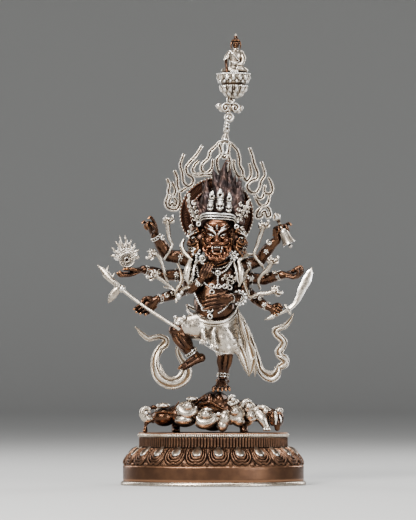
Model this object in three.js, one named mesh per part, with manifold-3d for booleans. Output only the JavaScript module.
// A cast copper statue of a wrathful guardian with eight arms, dancing on a cloud-wrapped beast, on an
// oval lotus plinth. What the figure holds, the scarves, the flames and the small seated figure on top are
// separate castings. Units are millimetres, +Z is up, the figure faces -Y, and the origin is the centre of
// the plinth's underside.
import * as THREE from "three";
import { mergeVertices } from "three/addons/utils/BufferGeometryUtils.js";
import Module from "manifold-3d";

const wasm = await Module();
wasm.setup();

// Driving dimensions
const GAP = 0.3; // clearance between two castings that meet
const WELD = 0.4; // corners nearer to each other than this are merged once a casting is joined
const PLINTH_HALF_WIDTH = 70.75;
const PLINTH_HALF_DEPTH = 46;
const PLINTH_HEIGHT = 39.9;
const PETALS = 24;
const PETAL_TURN = -4; // degrees that the row of petals is turned by
const FOOT_Z = 72; // sole of the standing foot, on the beast's back
const DISC_X = 2.5;
const DISC_Z = 206.4;
const DISC_RADIUS = 28;
const DISC_FRONT_Y = 8.6;
const DISC_THICKNESS = 1.2;
const FLAME_HALF_WIDTH = 1.35;
const FLAME_THICKNESS = 1.8;
const FLAME_MIDDLE_Y = DISC_FRONT_Y + DISC_THICKNESS + GAP + FLAME_THICKNESS / 2;
const FLAME_TOP_Z = 263.4;
const SEAT_TOP_Z = 315;

const COPPER = { color: 0x5a3a2a, metalness: 0.85, roughness: 0.42 };
const SILVER = { color: 0xcfc6b8, metalness: 0.9, roughness: 0.38 };

// Solids from three.js geometry

function solidOf(geometry) {
  const bare = new THREE.BufferGeometry().setAttribute("position", geometry.getAttribute("position"));
  if (geometry.index) bare.setIndex(geometry.index);
  const merged = mergeVertices(bare, 1e-4);
  const vertProperties = merged.attributes.position.array;
  const triVerts = new Uint32Array(merged.index.array);
  const solid = new wasm.Manifold(new wasm.Mesh({ numProp: 3, vertProperties, triVerts }));
  if (solid.volume() > 0) return solid;
  const flipped = triVerts.map((_, i) => triVerts[i - (i % 3) + 2 - (i % 3)]);
  return new wasm.Manifold(new wasm.Mesh({ numProp: 3, vertProperties, triVerts: flipped }));
}

function geometryOf(solid) {
  const { vertProperties, triVerts } = solid.getMesh();
  const geometry = new THREE.BufferGeometry();
  geometry.setAttribute("position", new THREE.BufferAttribute(vertProperties, 3));
  return geometry.setIndex(new THREE.BufferAttribute(triVerts, 1));
}

// Merge near corners and drop the slivers between them.
function weld(solid) {
  const merged = mergeVertices(geometryOf(solid), WELD);
  const corners = merged.index.array;
  const isFace = (_, i) => {
    const [a, b, c] = corners.slice(i - (i % 3), i - (i % 3) + 3);
    return a !== b && b !== c && c !== a;
  };
  const triVerts = new Uint32Array(corners.filter(isFace));
  const vertProperties = merged.attributes.position.array;
  return new wasm.Manifold(new wasm.Mesh({ numProp: 3, vertProperties, triVerts }));
}

function meshOf(name, solid, look) {
  const geometry = geometryOf(weld(solid));
  geometry.computeVertexNormals();
  const mesh = new THREE.Mesh(geometry, new THREE.MeshStandardMaterial(look));
  mesh.name = name;
  return mesh;
}

const join = (solids) => solids.reduce((all, one) => all.add(one));
const cut = (solid, tools) => tools.reduce((left, tool) => left.subtract(tool), solid);

// A closed skin over rings of points, with each end drawn to a point.
function skin(rings, start, end) {
  const sides = rings[0].length;
  const position = [start, ...rings.flat(), end].flatMap((p) => p.toArray());
  const last = rings.length * sides + 1;
  const index = [];
  for (let j = 0; j < sides; j++) {
    const k = (j + 1) % sides;
    index.push(0, 1 + k, 1 + j, last, last - sides + j, last - sides + k);
    for (let i = 0; i + 1 < rings.length; i++) {
      const a = 1 + i * sides + j;
      const b = 1 + i * sides + k;
      index.push(a, b, a + sides, b, b + sides, a + sides);
    }
  }
  const geometry = new THREE.BufferGeometry();
  geometry.setAttribute("position", new THREE.Float32BufferAttribute(position, 3));
  geometry.setIndex(index);
  return solidOf(geometry);
}

// A limb, rope or ribbon: an oval section carried along a smooth line through the points.
// Each radius is one number, or [across, along the hint], and grow thickens the whole piece.
function limb(points, radii, { sides = 6, steps = points.length - 1, hint = [0, 1, 0], grow = 0 } = {}) {
  const path = points.map((p) => new THREE.Vector3(...p));
  const curve = new THREE.CatmullRomCurve3(path, false, "centripetal");
  const side = new THREE.Vector3(...hint);
  const rings = [];
  const ends = [];
  for (let i = 0; i <= steps; i++) {
    const t = i / steps;
    const place = t * (radii.length - 1);
    const low = Math.min(Math.floor(place), radii.length - 2);
    const [from, to] = [radii[low], radii[low + 1]].map((r) => [r].flat());
    const radius = (k) => THREE.MathUtils.lerp(from.at(k), to.at(k), place - low);
    const [across, depth] = [radius(0) + grow, radius(-1) + grow];
    const centre = curve.getPoint(t);
    const along = curve.getTangent(t);
    const right = new THREE.Vector3().crossVectors(along, side).normalize();
    const up = new THREE.Vector3().crossVectors(right, along);
    rings.push(Array.from({ length: sides }, (_, j) => {
      const angle = (2 * Math.PI * (j + 0.5)) / sides;
      const point = centre.clone().addScaledVector(right, across * Math.cos(angle));
      return point.addScaledVector(up, depth * Math.sin(angle));
    }));
    ends.push(centre.clone().addScaledVector(along, 0.6 * Math.min(across, depth) * (i ? 1 : -1)));
  }
  return skin(rings, ends[0], ends[steps]);
}

// A strip with a square-edged section, given by its half width and half thickness at each point.
function ribbon(points, halves, options = {}) {
  const corners = halves.map((half) => half.map((size) => size * Math.SQRT2));
  return limb(points, corners, { sides: 4, ...options });
}

function ball([x, y, z], [rx, ry, rz], across = 8, up = 5) {
  const geometry = new THREE.SphereGeometry(1, across, up).rotateX(Math.PI / 2);
  return solidOf(geometry.scale(rx, ry, rz).translate(x, y, z));
}

function block(low, high) {
  const [width, depth, height] = high.map((h, i) => h - low[i]);
  const geometry = new THREE.BoxGeometry(width, depth, height);
  return solidOf(geometry.translate(low[0] + width / 2, low[1] + depth / 2, low[2] + height / 2));
}

// A turned shape: [radius, height] pairs up its own axis, which runs from one point towards another.
function turned(profile, from, towards, sides = 10) {
  const geometry = new THREE.LatheGeometry(profile.map(([r, h]) => new THREE.Vector2(r, h)), sides);
  const direction = new THREE.Vector3(...towards).sub(new THREE.Vector3(...from)).normalize();
  const turn = new THREE.Quaternion().setFromUnitVectors(new THREE.Vector3(0, 1, 0), direction);
  return solidOf(geometry.applyQuaternion(turn).translate(...from));
}

// A flat shape drawn in X and Z, centred on a plane of constant Y.
function plate(outline, middleY, thickness) {
  const shape = new THREE.Shape(outline.map(([x, z]) => new THREE.Vector2(x, z)));
  const geometry = new THREE.ExtrudeGeometry(shape, { depth: thickness, bevelEnabled: false });
  return solidOf(geometry.rotateX(Math.PI / 2).translate(0, middleY + thickness / 2, 0));
}

const circle = (x, z, r, count) =>
  Array.from({ length: count }, (_, j) => {
    const angle = (2 * Math.PI * j) / count;
    return [x + r * Math.cos(angle), z + r * Math.sin(angle)];
  });

// Lotus plinth: foot rim, plain band, a row of double-lobed petals that fan down, fluted neck and beaded rim

function lotusPlinth() {
  const perPetal = 3; // a valley and two lobes
  const columns = PETALS * perPetal;
  const depthShare = PLINTH_HALF_DEPTH / PLINTH_HALF_WIDTH;
  // Height, half width, how far a petal swells out, how far the valley beside it is lifted
  const rows = [
    [0, PLINTH_HALF_WIDTH, 0, 0],
    [2.8, 70.4, 0, 0],
    [3.4, 68.9, 0, 0],
    [15, 68.9, 0, 2.6],
    [18.4, 68.2, 2.2, 1.8],
    [24, 64.6, 1.6, 0.6],
    [28.8, 57, 0.4, 0],
    [36.4, 56.6, 0, 0],
    [37, 57.6, 0, 0],
    [PLINTH_HEIGHT, 57.2, 0, 0],
  ];
  const ring = ([z, width, swell, lift]) =>
    Array.from({ length: columns }, (_, j) => {
      const angle = THREE.MathUtils.degToRad(PETAL_TURN + (360 * j) / columns);
      const lobe = j % perPetal ? 1 : 0;
      const across = width + swell * lobe;
      const deep = width * depthShare + swell * lobe;
      return new THREE.Vector3(across * Math.sin(angle), -deep * Math.cos(angle), z + lift * (1 - lobe));
    });
  return skin(rows.map(ring), new THREE.Vector3(0, 0, 0), new THREE.Vector3(0, 0, PLINTH_HEIGHT));
}

// Beast with clouds: the animal crouches along X with its head at +X, and its hump carries the foot

function beast() {
  return [
    limb([[-45, 0, 51], [-24, 0, 54], [-2, 0, 56], [18, 0, 56], [40, -3, 54.4]], [[4, 4], [8, 10],
      [10, 13], [9, 12], [5, 6]]),
    ball([-37.6, -2, 52], [9.6, 8.2, 7.2], 6, 4),
    ball([3.4, -3, 60], [14.4, 14, 12.8], 8, 6),
    limb([[33, -4, 54], [41, -8, 54.4], [46.4, -11, 53]], [6, 5, 4.6]),
    ball([47, -13, 51.6], [5.6, 6.2, 5.6], 6, 4),
    limb([[48, -15, 51], [49.6, -18.6, 47], [49, -19.6, 43]], [4.4, 3.6, 2.8]),
    ball([50, -11, 56], [3.8, 2.8, 3.6], 5, 3),
    limb([[34, -8, 53], [38, -12.6, 48], [41.6, -14, 42.4]], [4.8, 3.8, 3]),
    limb([[-45, -1, 51], [-50.4, -4, 48.4], [-51.6, -5, 45], [-51.8, -5, 39]], [3.4, 2.8, 1.5, 1.9],
      { sides: 5 }),
    limb([[-46, -3, 50], [-53, -5, 51.6], [-53, -4, 55.6], [-49.6, -3, 55.4]], [2.8, 3, 2, 1.2],
      { sides: 5 }),
    ...[[-30, 8], [22, 4]].map(([x, y]) => limb([[x, y, 52], [x + 1, y + 3, 38]], [6, 4], { sides: 5 })),
  ];
}

// Each cloud: x, y, z, half width, half height, and the radius of the curl that sits on it
const CLOUDS = [
  [-37.8, -4, 60.4, 5.8, 2.8, 0],
  [-19.4, -13, 56.8, 8.8, 7.6, 4.4],
  [-22.4, -12, 49.6, 8.2, 5, 0],
  [-16.5, -9, 64, 5, 3.2, 0],
  [-6.6, -17, 49.6, 8.8, 8.2, 4.8],
  [6.6, -17, 48.6, 6.2, 8.6, 3.8],
  [18, -15, 52.4, 7.4, 7.8, 4.6],
  [11.6, -11.6, 62.4, 7.6, 4.8, 3],
  [27, -11, 57.6, 6, 6.2, 3.8],
  [29, -12, 50.8, 4.4, 3.6, 0],
  [-22, 12, 52.6, 11, 9, 4.6],
  [0, 15, 50, 12, 10, 5],
  [22, 11, 52, 10, 8.6, 4.4],
];

function clouds() {
  return CLOUDS.flatMap(([x, y, z, rx, rz, curl]) => {
    const puff = ball([x, y, z], [rx, 0.76 * rx, rz], 6, 4);
    if (!curl) return [puff];
    const knob = [x - 0.1 * rx, y + Math.sign(y) * 0.62 * rx, z + 0.4 * rz];
    return [puff, ball(knob, [curl, 0.8 * curl, 0.85 * curl], 6, 3)];
  });
}

function cloudMount() {
  const plinthTop = block([-80, -60, 10], [80, 60, PLINTH_HEIGHT + GAP]);
  const sole = block([-20, -30, FOOT_Z - GAP], [30, 20, 90]);
  return cut(join([...beast(), ...clouds()]), [plinthTop, sole]);
}

// The guardian's eight arms, shoulder to wrist, and the radius of each at the shoulder
const ARMS = [
  [[[-8, 2, 164], [-22.6, 5, 172.8], [-34, 5, 174.8], [-39.8, 3.4, 182.8], [-44.6, 1, 190]], 5.3],
  [[[-8, 3, 159], [-26, 7, 160.2], [-38, 6, 160], [-46.4, 3, 162.4], [-54, -1, 164]], 4.5],
  [[[-8, 2, 153], [-20, 4, 149.6], [-27.5, 2, 146], [-36, -4, 143.2], [-44, -9, 140.6]], 4.3],
  [[[-14, -1, 165], [-18.4, -3, 157], [-18.6, -5, 149], [-13.4, -12, 151.4], [-8.6, -16, 157]], 4.2],
  [[[12, 2, 164], [24.4, 5, 167.8], [34.8, 6, 171.2], [42, 4, 179.8], [48.6, 0.4, 187]], 5],
  [[[12, 3, 159], [27, 7, 157.8], [39, 6, 157], [46.4, 3.6, 158.8], [53.4, -0.4, 160]], 4.7],
  [[[12, 2, 153], [25, 4, 147.4], [32.6, 2, 141.6], [38, -3, 137.6], [43.6, -7, 134.6]], 4.2],
  [[[18, -1, 165], [23.4, -3, 155], [22, -6, 145], [16.6, -13.4, 142.6], [11.6, -18, 142]], 4.2],
];

function arm([path, shoulder]) {
  return limb(path, [1, 1.02, 0.84, 0.86, 0.64].map((share) => share * shoulder), { steps: 5 });
}

// A hand: a palm that runs on into the folded fingers, and a thumb.
function hand(palm, fingers, thumb, hint = [0, 1, 0]) {
  return [
    limb([...palm, ...fingers.slice(1)], [[2.6, 2.1], [3.6, 2], [3.1, 1.6], [2.2, 1.2]], { hint }),
    limb(thumb, [1.4, 1], { sides: 4 }),
  ];
}

function leftHands() {
  return [
    ...hand([[-44.8, 1, 190.2], [-48.8, -0.5, 198.4]], [[-48.8, -0.5, 198], [-47.6, -3, 200.8],
      [-48.4, -4.6, 198.6]], [[-45.6, 0, 194.4], [-44.8, -3, 199]]),
    limb([[-50.4, -0.8, 197.6], [-53.6, -2, 205.2]], [1.6, 1.2], { sides: 4 }),
    limb([[-47.2, -0.8, 198.6], [-47, -1.5, 205.4]], [1.6, 1.1], { sides: 4 }),
    ...hand([[-54, -1, 163.8], [-62, -3, 160.8]], [[-62, -3, 160.8], [-67.6, -4, 160.4],
      [-71.4, -4.4, 162.8]], [[-57, -4, 162.6], [-60.4, -6.4, 164.6]], [0, 0, 1]),
    ...hand([[-44, -9, 140.6], [-51.4, -11.6, 137.4]], [[-52, -11.8, 136.6], [-57, -13.4, 132.4],
      [-55, -16.8, 130.4]], [[-48, -12, 141], [-53.4, -15, 142.6]]),
    ...hand([[-8.6, -16, 157], [-5.4, -17.4, 163.4]], [[-5.4, -17.4, 163.4], [-3, -18.6, 167.2],
      [-1, -19.6, 165.2]], [[-7, -18, 160], [-3.4, -20.2, 162]]),
  ];
}

function rightHands() {
  return [
    ...hand([[48.6, 0.4, 187], [50.8, -0.6, 193.6]], [[50.8, -0.6, 193.4], [54.6, -3, 197.2],
      [55.6, -7, 196]], [[49, -2, 190], [48.6, -6.6, 196.4]]),
    ...hand([[53.4, -0.4, 160], [59.4, -0.8, 159.4]], [[59.4, -0.8, 159.4], [67.4, -1.4, 160.6],
      [65, -2, 165.4]], [[56, -0.5, 161], [61, -2.4, 164.8]]),
    ...hand([[43.6, -7, 134.6], [49.6, -9, 132]], [[49.6, -8.8, 132], [53.6, -10, 129.2],
      [52.4, -14.4, 129]], [[46, -9, 133.4], [50.4, -13.6, 134.4]]),
    ...hand([[11.6, -18, 142], [6.6, -19.4, 141.2]], [[6.6, -19.4, 141.2], [2, -20, 140],
      [-3, -19.4, 137.8]], [[9.4, -19.4, 143.6], [5.4, -20.6, 145]]),
  ];
}

function torso() {
  const trunk = limb(
    [[3, 1, 121], [2.4, 0, 130], [0.8, -3, 139], [1.4, -2, 149], [2, 0.5, 159], [2, 1.5, 167],
      [2.4, 0, 174]],
    [[12.5, 10.5], [14.8, 12], [16, 13.4], [14.4, 11.4], [16.4, 9.6], [13.6, 8], [6.5, 6]],
    { sides: 8 },
  );
  return [
    trunk,
    ball([0.6, -6.4, 135.4], [13.8, 11.6, 12.8], 8, 5),
    ball([-5, -6.5, 160.5], [7, 4.4, 5.4], 5, 3),
    ball([9, -6.5, 160.5], [7, 4.4, 5.4], 5, 3),
    limb([[2.4, 0, 170], [2.6, -2, 182]], [7, 7.5]),
  ];
}

function legs() {
  return [
    limb([[7, 0, 121], [9.5, -3.5, 106], [9.6, -3.4, 98], [9, -2, 90], [7.4, -1.4, 80.6], [7, -1, 76]],
      [8.5, 6.8, 5.9, 5.4, 3.7, 4.2]),
    limb([[7, 4, 75], [6.8, -2, 76], [6.6, -9, 74.4], [6.6, -14, 73.4]], [[3.6, 3], [4.4, 4], [5.6, 2.6],
      [6, 1.6]], { hint: [0, 0, 1] }),
    limb([[-1, -1, 122], [-14, -8, 121.5], [-26, -14, 119]], [10.5, 9.2, 6.4]),
    limb([[-26.4, -14, 118.6], [-22.5, -12.5, 111], [-18.4, -11, 105.4], [-14.4, -9.6, 100.6]],
      [5.9, 5.8, 4.7, 3.5]),
    limb([[-9.6, -8.6, 97.4], [-14, -10, 97.2], [-20, -12, 92.6], [-25, -13, 88.6]], [[2.8, 3],
      [3.6, 3.6], [2.6, 3.8], [1.4, 3.2]]),
  ];
}

// The tiger skin: a wrap over hips and thigh, two hanging paws and the tail of cloth beside the standing leg.
function tigerSkin() {
  return [
    limb([[3, 1, 131], [4, 0, 124], [7.5, -2, 112], [10, -2.5, 100]], [[15, 12.6], [15.6, 12.6],
      [12.6, 10.8], [11, 9.6]], { sides: 8 }),
    limb([[-1, -2, 123], [-12, -8.4, 120.6], [-23, -12.6, 119.6]], [[12.4, 12], [11.4, 10.4], [8.4, 7.8]]),
    limb([[-6, -15.5, 121], [-8.4, -16.5, 113], [-6.8, -15, 106.4]], [[2.6, 1.8], [3.4, 2.2], [3.9, 1.8]],
      { sides: 6 }),
    limb([[-0.5, -15.5, 121], [-3, -16.5, 113], [-0.2, -15, 106.4]], [[2.6, 1.8], [3.4, 2.2], [3.9, 1.8]],
      { sides: 6 }),
    limb([[14, -2, 127], [18.4, -1, 112], [22, -1, 99], [26.4, -1, 84]], [[4, 5], [4.4, 5.4], [5, 4],
      [1.1, 1.1]], { sides: 6 }),
  ];
}

// The front face with its beard, brow, nose and cheeks, and the two side faces with their ear jewels.
function heads() {
  const sides = [-11.8, 17.4].map((x) => ball([x, -2, 189], [7.2, 7.4, 11], 6, 4));
  const jewels = [-15.4, 19.6].map((x) => ball([x, -6, 178.4], [4.6, 3.2, 5], 5, 3));
  return [
    ball([2.7, -4, 191], [10.4, 11, 13.5], 8, 7),
    limb([[2.6, -7.4, 183], [2.5, -10, 178], [2.2, -12.4, 172.6]], [[8, 6.6], [7, 4.4], [4.6, 2.4]]),
    ball([2.7, -12.6, 194.6], [8.4, 2.8, 2.8], 6, 3),
    ball([2.7, -14.2, 186.4], [3, 3, 3.2], 5, 3),
    ball([-3.6, -11.4, 186.6], [3.8, 3.4, 3.4], 5, 3),
    ball([8.8, -11.4, 186.6], [3.8, 3.4, 3.4], 5, 3),
    ...sides,
    ...jewels,
  ];
}

// Each lock of upswept hair: root x, root z, tip x, tip z, root radius
const LOCKS = [
  [-7, 214, -13, 232, 4.6],
  [-3, 218, -6.4, 231.6, 4.6],
  [2, 220, -0.6, 238, 5],
  [9, 220, 9.4, 247.4, 6.6],
  [14, 219, 14.6, 240, 5.4],
  [18, 215, 20.4, 234, 4.8],
  [20, 209, 25, 227, 4],
];

function hair() {
  const locks = LOCKS.map(([x, z, tipX, tipZ, r]) => {
    const middle = [(x + tipX) / 2 + 1.2, 0.5, (z + tipZ) / 2];
    return limb([[x, 2, z], middle, [tipX, 3, tipZ]], [[r, r * 0.8], [r * 0.8, r * 0.66], [0.8, 0.8]],
      { sides: 4 });
  });
  return [ball([4.8, 1, 213], [15.4, 8.6, 15], 8, 6), ball([3, 4, 196], [14, 5.6, 16], 8, 5), ...locks];
}

// The crown: a cap with its band, three skulls with jewel finials in front and a leafy spray at each side.
function crown() {
  const cap = limb([[3, -3, 198], [3.4, -3, 204], [4, -1, 210]], [[11.4, 10], [13, 11.4], [12, 8]],
    { sides: 7 });
  const band = limb([[-10.6, -3, 202], [-6, -11.4, 203.4], [3.4, -14.4, 204], [12.8, -11.4, 203.4],
    [17.4, -3, 202]], [[2, 2.6], [2, 2.6]], { sides: 4, hint: [0, 0, 1] });
  const skulls = [[-4.6, 206.4, -1.4, 222.4], [3.4, 207, 5.4, 225.4], [12, 206, 12, 222.6]];
  const finials = skulls.flatMap(([x, z, tipX, tipZ]) => [
    limb([[x, -12, z - 1], [x, -12, z + 2], [(x + tipX) / 2, -11.6, z + 7], [tipX, -10.6, z + 11.6],
      [tipX, -10, tipZ]], [3, 4, 2, 3.2, 0.5], { sides: 5 }),
  ]);
  const sprays = [[-12, -1], [20.6, 1]].map(([x, way]) =>
    limb([[x - way * 2.4, -8, 202.6], [x + way * 1.4, -6, 211], [x + way * 4.4, -4, 219.6]],
      [[4, 2.2], [5.4, 2.2], [1.4, 1.2]], { sides: 5 }));
  return [cap, band, ...finials, ...sprays];
}

// Serpents soldered round the upper arms, each rearing a crested head
const SERPENTS = [
  [[-35.4, 4, 173.6], [-33.6, -1.2, 178.6], [-32, -1.4, 183.6], [-33.8, -1, 189], [-35, -1.6, 195],
    [-35.6, -3, 201.6], [-31.6, -4, 203]],
  [[-35, 6, 156], [-39, 1, 161], [-42, 0, 168], [-45, -1, 174], [-49.6, -3, 174.6]],
  [[-29, 0, 145], [-35, -3, 151], [-42, -4, 157], [-46, -5, 158.4], [-50.6, -6, 155.6]],
  [[36.2, 5, 170], [32.6, 0, 176], [34.6, 0, 187], [37.6, -1, 196], [43, -2, 200], [47, -3, 199]],
  [[34.2, 5.4, 154.6], [36.4, -1, 158.4], [43, -2, 166.4], [48, -3, 172.6], [53, -4, 174.4]],
  [[28, 0, 144], [34, -3, 146.6], [41, -4, 146.8], [46.4, -5, 150.6], [53.6, -6, 142.6]],
];

const serpents = () => SERPENTS.map((path) => limb(path, [1.6, 1.4, 1.4, 2.6, 1.7], { sides: 5 }));

// The shawl: a band from behind the head over each shoulder and down the side of the chest.
function shawl() {
  return [
    limb([[-22, 5, 185], [-20, 2, 177], [-15.6, -4, 173], [-18.4, -8.4, 164], [-20.4, -8, 155],
      [-26, -2, 146]], [[3.2, 1.3], [3, 1.4], [2.6, 1.4], [3.4, 1.4], [2.8, 1.3], [1.6, 1.2]],
      { sides: 6 }),
    limb([[28, 5, 184], [25.4, 2, 176], [20.4, -4, 172.4], [21.8, -8.4, 163], [24, -8, 154],
      [28, -1, 145]], [[3, 1.3], [2.8, 1.4], [2.6, 1.4], [3.4, 1.4], [2.8, 1.3], [1.6, 1.2]],
      { sides: 6 }),
  ];
}

function guardian(neighbours) {
  const casting = [torso(), ARMS.map(arm), leftHands(), rightHands(), legs(), tigerSkin(), heads(),
    hair(), crown()];
  const body = join([...casting.flat(), ...serpents(), ...shawl()]);
  const discSpace = block([-60, DISC_FRONT_Y - GAP, DISC_Z - DISC_RADIUS - 1], [60, 40, 300]);
  const underSole = block([-20, -40, 50], [40, 40, FOOT_Z]);
  return cut(body, [discSpace, underSole, ...neighbours]);
}

// Mane disc and flame aureole

const maneDisc = () => plate(circle(DISC_X, DISC_Z, DISC_RADIUS, 40),
  DISC_FRONT_Y + DISC_THICKNESS / 2, DISC_THICKNESS);

// The flame ribbons, each a line of x, z points from tongue to tongue, in the plane behind the disc
const FLAMES = [
  [[4.6, 262], [12.6, 262]],
  [[4, 262], [5.6, 256.5], [5.8, 252.5], [3.1, 248.9], [2.6, 244.9], [4.4, 238]],
  [[13, 262], [11.7, 256.5], [11.3, 252.1], [12.7, 247.3], [12.2, 242.9], [11.4, 238]],
  [[5.6, 254], [11.6, 254]],
  [[4.6, 262], [1.3, 258.5], [-2.4, 254.5], [-3.8, 249.7], [-8.4, 244.9], [-9, 240.5], [-5.2, 238.2],
    [-1.6, 241.3], [-0.4, 248.3]],
  [[-11.6, 247.5], [-14.3, 244.5], [-15.9, 240.1], [-12.8, 236.9], [-8.8, 238.7]],
  [[-16.4, 237.3], [-12, 236.3], [-6.4, 237], [4, 236.4]],
  [[-8.8, 258.9], [-13.6, 251.3], [-18.4, 246.1], [-21, 242.1], [-19.9, 237.7], [-15.9, 234.4],
    [-16, 230], [-19.2, 228], [-22.8, 231], [-23.7, 238.1], [-25.3, 244.1], [-22.8, 252.3]],
  [[-29.7, 239.7], [-27.8, 234.8], [-27.4, 228.4], [-24.9, 224.4], [-20.4, 227]],
  [[-35.3, 233.6], [-33.6, 228.8], [-34.3, 223.2], [-31, 220.4], [-29, 224.4], [-31.6, 231]],
  [[-34.3, 222], [-36.3, 216.4], [-35.5, 212.4], [-31.9, 210.4], [-27.9, 210.6], [-25.8, 214],
    [-26.4, 225]],
  [[-31.9, 210.8], [-31.2, 216], [-31.6, 220.6]],
  [[12.6, 262], [18.5, 254.9], [19.8, 249], [20, 244.4], [22.3, 239.7], [22.9, 235.3], [25.8, 232.4],
    [28.3, 235.3], [28.9, 239.7], [27.7, 245.4]],
  [[15.7, 248.1], [15.7, 242.9], [17, 238.9], [19.7, 235.4], [23, 235.8]],
  [[27.7, 257.3], [29.9, 251.3], [31.3, 244.9], [33.9, 238.1], [33.2, 234], [28.8, 232.2], [25.8, 228],
    [28.1, 224], [32.1, 223], [35.2, 226.4], [36.5, 231.6], [39.4, 236.9], [36.8, 246.5]],
  [[42.2, 234], [43, 229.2], [44.2, 224.8], [42, 221.8], [38.7, 223.4], [36.6, 230]],
  [[32.1, 223], [33.4, 219.2], [36.5, 218], [39.4, 220.2], [39.2, 223.4]],
  [[33.8, 219], [35.4, 214.6], [38.8, 213.6], [41.8, 216.8], [41.2, 221.8]],
  [[38.3, 213.4], [34.6, 211.6], [33.3, 207.6], [35.7, 204.9], [38.2, 208.4], [40.6, 204.9], [43, 207.2],
    [42, 211.6], [38.3, 213.4]],
];

function flameAureole() {
  const section = [FLAME_HALF_WIDTH, FLAME_THICKNESS / 2];
  return join(FLAMES.map((line) => ribbon(line.map(([x, z]) => [x, FLAME_MIDDLE_Y, z]),
    [section, section])));
}

// Pinnacle: stem, three tiers of cloud scrolls, a leafy calyx and the lotus seat, leaning a little to +X

function pinnacle() {
  const base = [8.9, 10.9, FLAME_TOP_Z + GAP];
  const seat = [15.8, 8.4, SEAT_TOP_Z - GAP];
  const at = (z) => base.map((b, i) => THREE.MathUtils.mapLinear(z, base[2], seat[2], b, seat[i]));
  const scroll = (dx, z, r) => {
    const [x, y] = at(z);
    return ball([x + dx, y - 0.4, z], [r, 2.4, r], 6, 4);
  };
  return join([
    turned([[0, 0], [3.2, 0], [1.6, 4.6], [2.4, 7.4], [1.4, 10.6], [1.5, 34], [0, 34]], base, seat, 6),
    scroll(0.6, 280.4, 4),
    scroll(-3.4, 288.4, 4.6),
    scroll(4.4, 288.4, 4.6),
    scroll(-7, 288.8, 3),
    scroll(8.2, 287.6, 3),
    scroll(0.5, 294.2, 3.6),
    turned([[0, 0], [4.4, 0], [11, 9], [11, 10.4], [9.6, 11], [13, 14.2], [13.4, 17.4], [11.6, 19.4],
      [0, 19.4]], at(SEAT_TOP_Z - GAP - 19.4), [15.8, 8.4, 1000], 14),
  ]);
}

function seatedBuddha() {
  const knees = limb([[7.8, 7, 317.4], [11.4, 4.4, 317.4], [16.2, 3, 317.4], [21, 4.4, 317.4],
    [24.6, 7, 317.4]], [[2.2, 2.4], [3, 2.6], [2.8, 2.4], [3, 2.6], [2.2, 2.4]], { hint: [0, 0, 1] });
  const trunk = limb([[16.4, 9, 317], [16.6, 8.6, 321], [17, 8.2, 326.6], [17.2, 8, 330.6],
    [17.2, 7.8, 334]], [[7.4, 5.6], [4.6, 4], [5.4, 4], [5, 3.4], [2, 2]]);
  const robedArm = limb([[21.4, 8, 330], [22.8, 7, 325.4], [20.6, 4, 321.4], [17.6, 2.8, 321]],
    [2, 2.2, 2, 1.6], { sides: 5 });
  const bareArm = limb([[12.2, 8, 329.4], [9.6, 7, 324], [9.4, 4, 319.4], [9.6, 1.8, 316.6]],
    [1.9, 1.6, 1.4, 1.1], { sides: 5 });
  const bowl = ball([16.6, 2.6, 322.4], [2.6, 2.4, 1.8], 6, 3);
  const head = ball([17.2, 7.6, 336.8], [3.5, 3.7, 4.3], 7, 5);
  const topknot = turned([[0, 0], [2.4, 0], [2.2, 2], [0.9, 3.6], [0.5, 5.2], [0, 5.2]], [17.2, 8, 339.8],
    [17.2, 8, 400], 6);
  const under = block([-10, -20, 300], [40, 30, SEAT_TOP_Z]);
  return cut(join([knees, trunk, robedArm, bareArm, bowl, head, topknot]), [under]);
}

// What the hands hold: each is made once as itself and once a gap larger, to clear its space in the hand

function flameWheel(grow = 0) {
  const [x, y, z] = [-66, -5.2, 171.4];
  const tongues = 9;
  const halo = Array.from({ length: 2 * tongues - 1 }, (_, i) => {
    const angle = THREE.MathUtils.degToRad(-14 + (208 * i) / (2 * tongues - 2));
    const reach = (i % 2 ? 8.4 : 12) + 6.2 * Math.max(0, Math.sin(angle)) ** 1.4 * (i % 2 ? 0.5 : 1);
    return [x + (reach + grow) * Math.cos(angle), z + (reach + grow) * Math.sin(angle)];
  });
  const under = [-155, -130, -110, -90, -70, -50, -25].map((degrees) => {
    const angle = THREE.MathUtils.degToRad(degrees);
    return [x + (6 + grow) * Math.cos(angle), z + (6 + grow) * Math.sin(angle)];
  });
  const rim = [[0, -1.5 - grow], [5.8 + grow, -1.5 - grow], [5.8 + grow, 0], [0, 0]];
  return join([plate([...halo, ...under], y, 1.8 + 2 * grow), turned(rim, [x, y, z], [x, y + 1, z], 12)]);
}

function axeStaff(grow = 0) {
  const rod = (points, radii) => limb(points, radii, { sides: 5, grow });
  return join([
    rod([[-26, -22.4, 118.4], [-54, -15.2, 136.8], [-70.6, -10.8, 149.4]], [1.2, 1.3, 1.5]),
    rod([[-69, -11.2, 148.2], [-73.6, -10, 151.8], [-77, -9.2, 154.8], [-82, -8, 160.2],
      [-88.3, -6.4, 167.2]], [[2.2, 2.2], [1.8, 1.8], [2.4, 1.2], [1.8, 1], [0.4, 0.4]]),
    rod([[-80, -8.4, 158], [-80.8, -8.2, 162], [-80.1, -8.2, 167]], [[1.5, 1], [1, 0.8], [0.5, 0.5]]),
    rod([[-78, -8.8, 156], [-76.4, -9, 158.2], [-74.6, -9, 161.4]], [[1.4, 1], [1, 0.8], [0.5, 0.5]]),
    rod([[-71.6, -10.6, 150.6], [-74.6, -10.6, 146.4], [-77, -10.6, 142.6], [-79.8, -10.6, 138.6]],
      [[2, 1.4], [3, 1], [2.6, 0.8], [1.1, 0.5]]),
  ]);
}

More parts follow.
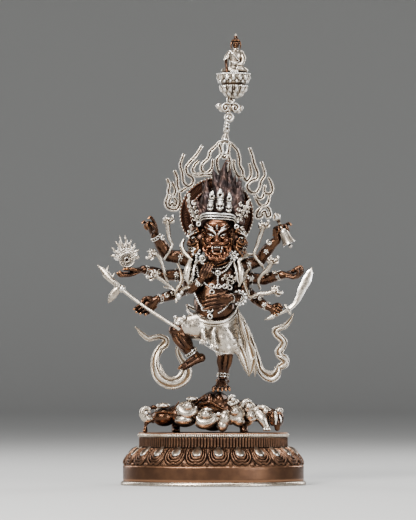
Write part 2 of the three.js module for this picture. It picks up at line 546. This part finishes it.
// Bell: handle tip to mouth, hollow below the shoulder, with its clapper hanging inside.
function handBell(grow = 0) {
  const tip = [46.6, -4.6, 207.1];
  const mouth = [57.7, -4.6, 183.6];
  const outer = [[0, 0], [0.8, 0.6], [2, 3.6], [1.2, 5.4], [1, 13], [2.8, 14.6], [3.2, 18], [3.8, 22.6],
    [5.2, 26]];
  const inner = [[4.5, 26], [3, 22.4], [2.3, 18.4], [0.7, 17], [0.7, 26.4], [1.5, 28], [0, 30.4]];
  if (!grow) return turned([...outer, ...inner], tip, mouth, 12);
  return turned([...outer.map(([r, h], i) => [i ? r + grow : 0, h]), [0, 26]], tip, mouth, 12);
}

function sword(grow = 0) {
  const y = -12;
  const hilt = [[38.6, y, 125.6], [41.4, y, 126.8], [44.6, y, 128], [47, y, 129], [52, y, 131.2],
    [57.4, y, 133.8]];
  const leftEdge = [[56, 134], [61.6, 139.1], [64.1, 146.4], [66.7, 154.4], [70.3, 161.4]];
  const rightEdge = [[75.5, 166.2], [75.8, 161.4], [75, 156.4], [70.3, 148.6], [67.4, 142.4],
    [64.1, 137.4], [57, 132]];
  return join([
    limb(hilt, [0.5, 1.3, 2.2, 1.2, 1.2, 1.2], { sides: 6, grow }),
    limb([[54.8, y, 136.4], [58.2, y, 130.8]], [[1, 1.3], [1, 1.3]], { sides: 6, grow }),
    plate([...leftEdge, ...rightEdge].reverse(), y, 1.3 + 2 * grow),
  ]);
}

// Flying scarves: flat ribbons that wave in and out as they curl

function scarfLeft(grow = 0) {
  const line = [[-17, -4, 117], [-24, 0, 108], [-25.6, 2, 97], [-20.6, 3, 86.6], [-28.6, 2, 77.4],
    [-40, 0, 81.6], [-45.2, 0, 91.6], [-41, 2, 101.6], [-36.6, 3, 109], [-40.4, 2, 113.6],
    [-48, 0, 111.6], [-54.4, -1, 114.2], [-59.6, 0, 120.4]];
  const halves = [[2.2, 0.9], [2.4, 0.9], [2.8, 1], [4.4, 1.1], [4.2, 1.1], [3.2, 1], [3, 1], [2.8, 1],
    [2.8, 1], [2.8, 1], [2.4, 0.9], [1.8, 0.8], [0.6, 0.5]];
  return ribbon(line, halves, { steps: 22, grow });
}

function scarfRight(grow = 0) {
  const line = [[16.6, -1, 134], [22.6, 0, 124], [26.6, 1, 113.6], [30.6, 2, 101.6], [32.6, 2, 91],
    [38.4, 2, 83.4], [46, 1, 80.6], [49.6, 0, 86.4], [54.4, 1, 93], [50, 2, 99.4], [53.4, 2, 106.4],
    [46, 0, 113.4], [51.6, -1, 119.4], [58, -1, 124], [61.3, 0, 130.6]];
  const halves = [[1.6, 0.9], [2.2, 0.9], [2.8, 1], [3.4, 1], [3.6, 1], [3.6, 1], [3.4, 1], [3.4, 1],
    [3.4, 1], [3.4, 1], [3.4, 1], [3, 1], [2.6, 0.9], [1.8, 0.8], [0.6, 0.5]];
  return ribbon(line, halves, { steps: 26, grow });
}

const neighbours = [flameWheel, axeStaff, handBell, sword, scarfLeft, scarfRight].map((made) => made(GAP));

const statue = new THREE.Group();
statue.add(
  meshOf("lotus_plinth", lotusPlinth(), COPPER),
  meshOf("cloud_mount", cloudMount(), SILVER),
  meshOf("guardian", guardian(neighbours), COPPER),
  meshOf("mane_disc", maneDisc(), COPPER),
  meshOf("flame_aureole", flameAureole(), SILVER),
  meshOf("pinnacle", pinnacle(), SILVER),
  meshOf("seated_buddha", seatedBuddha(), SILVER),
  meshOf("flame_wheel", flameWheel(), SILVER),
  meshOf("axe_staff", axeStaff(), SILVER),
  meshOf("hand_bell", handBell(), SILVER),
  meshOf("sword", sword(), SILVER),
  meshOf("scarf_left", scarfLeft(), SILVER),
  meshOf("scarf_right", scarfRight(), SILVER),
);

export default statue;
